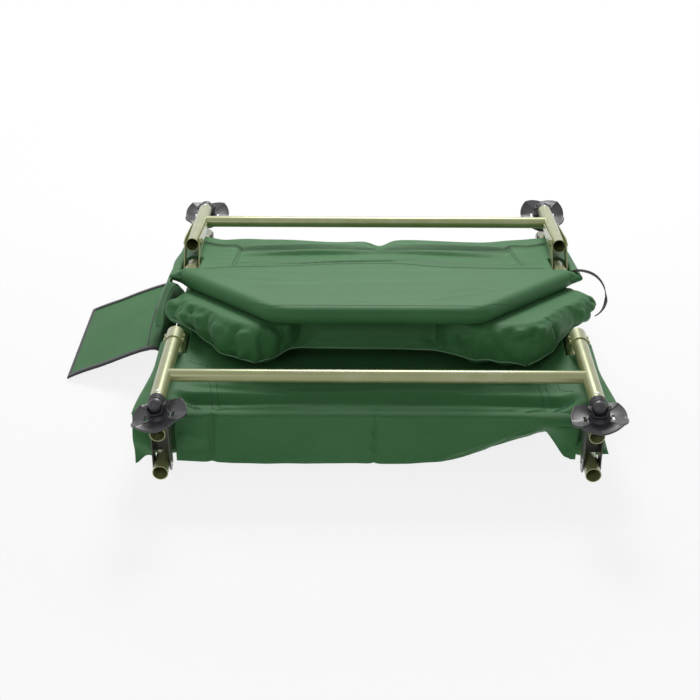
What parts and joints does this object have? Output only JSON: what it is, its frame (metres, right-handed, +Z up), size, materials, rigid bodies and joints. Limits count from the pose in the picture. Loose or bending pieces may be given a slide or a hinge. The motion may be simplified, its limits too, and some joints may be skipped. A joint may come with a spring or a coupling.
{
  "type": "folding cot",
  "caption": "Three-section folding cot with a tubular steel frame, padded fabric deck, pillow, swivel feet and fold-away leg frames, stored folded.",
  "frame": {"origin": "on the floor under the centre of the folded cot's bounding box", "axes": "+Z up; +Y along the side rails from the foot end's hinge to the head end's hinge; +X to the right of someone at the foot end, the side flap lies at -X"},
  "size_m": [1.0924, 0.9812, 0.2649],
  "materials": {
    "olive_steel": "satin powder coat",
    "dark_olive_steel": "satin powder coat",
    "zinc_steel": "zinc plated",
    "black_plastic": "moulded, slightly glossy",
    "green_fabric": "coated polyester, slight sheen",
    "black_webbing": "woven"
  },
  "bodies": {
    "middle_section": {"middle_rail_left": "olive_steel", "middle_rail_right": "olive_steel", "middle_deck": "green_fabric"},
    "near_hinge": {"near_hinge_left": "dark_olive_steel", "near_hinge_right": "dark_olive_steel", "near_hinge_pins": "zinc_steel", "near_fold_band": "green_fabric"},
    "far_hinge": {"far_hinge_left": "dark_olive_steel", "far_hinge_right": "dark_olive_steel", "far_hinge_pins": "zinc_steel", "far_fold_band": "green_fabric"},
    "near_section": {"near_frame": "olive_steel", "near_deck": "green_fabric"},
    "far_section": {"far_frame": "olive_steel", "far_deck": "green_fabric", "pillow": "green_fabric", "tie_strap": "black_webbing"},
    "near_leg": {"near_leg_left": "olive_steel", "near_leg_right": "olive_steel", "near_crossbar": "olive_steel", "near_bracket_left": "olive_steel", "near_bracket_right": "olive_steel", "near_leg_pins": "zinc_steel", "near_leg_rivets": "zinc_steel", "near_plug_left": "black_plastic", "near_plug_right": "black_plastic"},
    "far_leg": {"far_leg_left": "olive_steel", "far_leg_right": "olive_steel", "far_crossbar": "olive_steel", "far_bracket_left": "olive_steel", "far_bracket_right": "olive_steel", "far_leg_pins": "zinc_steel", "far_leg_rivets": "zinc_steel", "far_plug_left": "black_plastic", "far_plug_right": "black_plastic"},
    "middle_leg": {"middle_leg_left": "olive_steel", "middle_leg_right": "olive_steel", "middle_crossbar": "olive_steel", "middle_bracket_left": "olive_steel", "middle_bracket_right": "olive_steel", "middle_leg_pins": "zinc_steel", "middle_leg_rivets": "zinc_steel", "middle_plug_left": "black_plastic", "middle_plug_right": "black_plastic"},
    "near_left_foot": {"near_foot_left": "black_plastic"},
    "near_right_foot": {"near_foot_right": "black_plastic"},
    "far_left_foot": {"far_foot_left": "black_plastic"},
    "far_right_foot": {"far_foot_right": "black_plastic"},
    "middle_left_foot": {"middle_foot_left": "black_plastic"},
    "middle_right_foot": {"middle_foot_right": "black_plastic"},
    "side_flap": {"side_flap": "green_fabric", "flap_binding": "black_webbing"}
  },
  "joints": [
    {"name": "far_section_fold", "type": "hinge", "parent": "far_hinge", "child": "far_section", "pos_m": [0.08529, 0.3936, 0.13818], "axis": [-1, 0, 0], "range_deg": [0, 79.5]},
    {"name": "far_hinge_fold", "type": "hinge", "parent": "middle_section", "child": "far_hinge", "pos_m": [0.08529, 0.3936, 0.05918], "axis": [-1, 0, 0], "range_deg": [0, 90]},
    {"name": "near_hinge_fold", "type": "hinge", "parent": "middle_section", "child": "near_hinge", "pos_m": [0.08529, -0.4064, 0.05918], "axis": [1, 0, 0], "range_deg": [0, 90]},
    {"name": "near_section_fold", "type": "hinge", "parent": "near_hinge", "child": "near_section", "pos_m": [0.08529, -0.4064, 0.13818], "axis": [1, 0, 0], "range_deg": [0, 90]},
    {"name": "near_leg_deploy", "type": "hinge", "parent": "near_section", "child": "near_leg", "pos_m": [0.08529, -0.1404, 0.13818], "axis": [-1, 0, 0], "range_deg": [0, 88.2]},
    {"name": "far_leg_deploy", "type": "hinge", "parent": "far_section", "child": "far_leg", "pos_m": [0.08529, 0.13205, 0.18665], "axis": [1, 0, 0], "range_deg": [0, 86.2]},
    {"name": "middle_leg_deploy", "type": "hinge", "parent": "middle_section", "child": "middle_leg", "pos_m": [0.08529, -0.1164, 0.05918], "axis": [-1, 0, 0], "range_deg": [0, 92.64]},
    {"name": "near_left_foot_level", "type": "hinge", "parent": "near_leg", "child": "near_left_foot", "pos_m": [-0.2947, -0.43831, 0.19356], "axis": [-0.9781, -0.0065, -0.2078], "range_deg": [0, 91]},
    {"name": "near_right_foot_level", "type": "hinge", "parent": "near_leg", "child": "near_right_foot", "pos_m": [0.4653, -0.43831, 0.19356], "axis": [-0.9962, -0.0027, -0.0871], "range_deg": [0, 91]},
    {"name": "far_left_foot_level", "type": "hinge", "parent": "far_leg", "child": "far_left_foot", "pos_m": [-0.2947, 0.43488, 0.19739], "axis": [1, 0, 0], "range_deg": [0, 72]},
    {"name": "far_right_foot_level", "type": "hinge", "parent": "far_leg", "child": "far_right_foot", "pos_m": [0.4653, 0.43488, 0.19739], "axis": [1, 0, 0], "range_deg": [0, 62]},
    {"name": "middle_left_foot_level", "type": "hinge", "parent": "middle_leg", "child": "middle_left_foot", "pos_m": [-0.2947, 0.1849, 0.027], "axis": [1, 0, 0], "range_deg": [0, 92.64]},
    {"name": "middle_right_foot_level", "type": "hinge", "parent": "middle_leg", "child": "middle_right_foot", "pos_m": [0.4653, 0.1849, 0.027], "axis": [1, 0, 0], "range_deg": [0, 92.64]},
    {"name": "side_flap_fold", "type": "hinge", "parent": "middle_section", "child": "side_flap", "pos_m": [-0.33731, -0.0064, 0.05118], "axis": [0, -1, 0], "range_deg": [-100, 62]}
  ],
  "couplings": [
    {"joint": "far_hinge_fold", "follows": "far_section_fold", "ratio": 1.1321},
    {"joint": "near_hinge_fold", "follows": "far_section_fold", "ratio": 1.1321},
    {"joint": "near_section_fold", "follows": "far_section_fold", "ratio": 1.1321},
    {"joint": "near_left_foot_level", "follows": "near_leg_deploy", "ratio": 1.0317},
    {"joint": "near_right_foot_level", "follows": "near_leg_deploy", "ratio": 1.0317},
    {"joint": "far_left_foot_level", "follows": "far_leg_deploy", "ratio": 0.83527},
    {"joint": "far_right_foot_level", "follows": "far_leg_deploy", "ratio": 0.71926},
    {"joint": "middle_left_foot_level", "follows": "middle_leg_deploy", "ratio": 1},
    {"joint": "middle_right_foot_level", "follows": "middle_leg_deploy", "ratio": 1}
  ]
}
